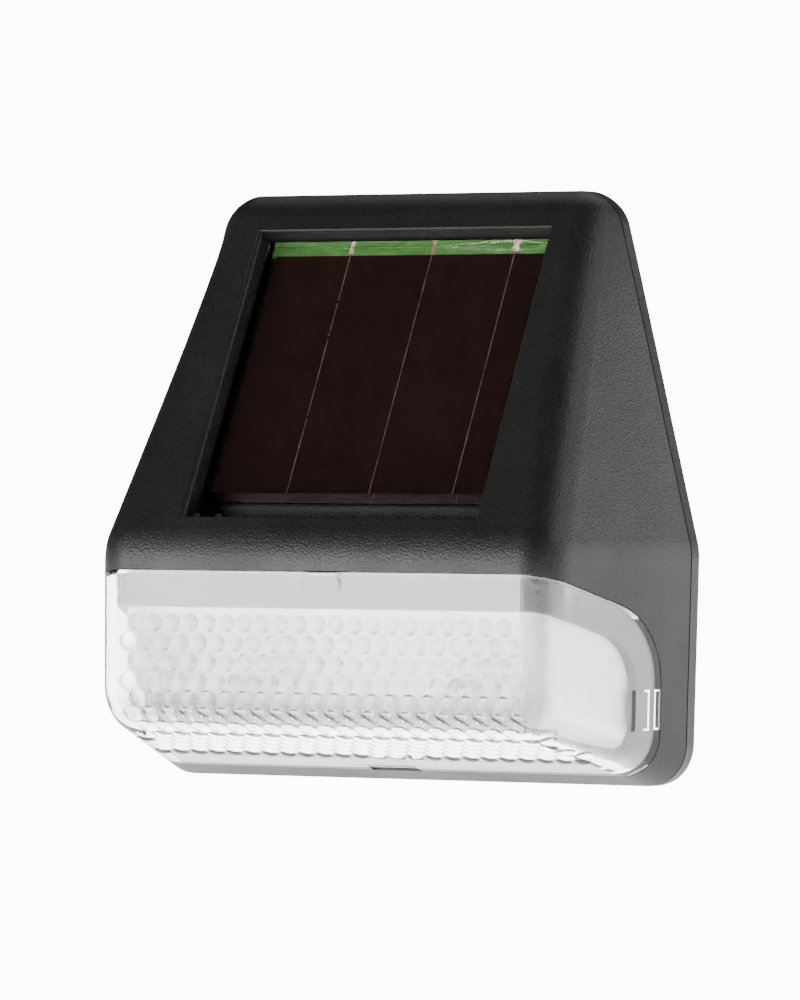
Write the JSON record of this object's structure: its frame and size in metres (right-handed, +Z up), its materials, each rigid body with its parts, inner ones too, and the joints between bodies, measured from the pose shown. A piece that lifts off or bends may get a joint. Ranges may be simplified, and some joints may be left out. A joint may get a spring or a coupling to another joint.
{
  "type": "solar fence light",
  "caption": "Wedge-shaped solar fence light with a slanted panel, a clear bumpy lens cap below it and a flat back with keyholes.",
  "frame": {"origin": "centre of the flat back face that lies against the fence", "axes": "+Z up, +Y into the fence, +X to the right seen from the front"},
  "size_m": [0.0916, 0.0324, 0.0872],
  "materials": {
    "black_shell": "fine moulded texture",
    "black_cover": "fine moulded texture",
    "seal_rubber": "matt",
    "screw_steel": "zinc plated",
    "clear_lens": "clear moulded, round bumps on the front",
    "white_reflector": "satin white",
    "panel_glass": "clear float glass",
    "cell_film": "dark film on glass",
    "trace_metal": "thin metal trace",
    "green_backing": "painted backing",
    "foam_pad": "foam",
    "clear_sealant": "silicone",
    "solder": "bright solder",
    "board_green": "solder mask",
    "lamp_epoxy": "water clear",
    "tinned_leg": "tinned",
    "chip_black": "moulded",
    "ferrite": "ferrite",
    "can_aluminium": "drawn can",
    "ceramic_black": "fired",
    "cell_sleeve": "plastic sleeve",
    "holder_black": "moulded",
    "contact_steel": "nickel plated",
    "switch_black": "moulded",
    "slider_black": "moulded",
    "wire_red": "insulation",
    "wire_black": "insulation"
  },
  "bodies": {
    "light": {"housing": "black_shell", "back_cover": "black_cover", "cover_seal": "seal_rubber", "cover_screws": "screw_steel", "lens": "clear_lens", "reflector": "white_reflector", "solar_glass": "panel_glass", "solar_cells": "cell_film", "cell_scribes": "trace_metal", "panel_backing": "green_backing", "panel_pad": "foam_pad", "panel_sealant": "clear_sealant", "panel_solder": "solder", "circuit_board": "board_green", "led_left": "lamp_epoxy", "led_right": "lamp_epoxy", "led_legs": "tinned_leg", "board_screws": "screw_steel", "controller_chip": "chip_black", "inductor": "ferrite", "capacitor": "can_aluminium", "resistor": "ceramic_black", "battery_cell": "cell_sleeve", "battery_holder": "holder_black", "battery_contact_plus": "contact_steel", "battery_contact_minus": "contact_steel", "switch_body": "switch_black", "switch_pins": "tinned_leg", "panel_wire_red": "wire_red", "panel_wire_black": "wire_black", "battery_wire_red": "wire_red", "battery_wire_black": "wire_black", "switch_wire": "wire_red"},
    "switch": {"switch_slider": "slider_black"}
  },
  "joints": [
    {"name": "switch_slide", "type": "slide", "parent": "light", "child": "switch", "axis": [1, 0, 0], "range_m": [0, 0.002]}
  ]
}
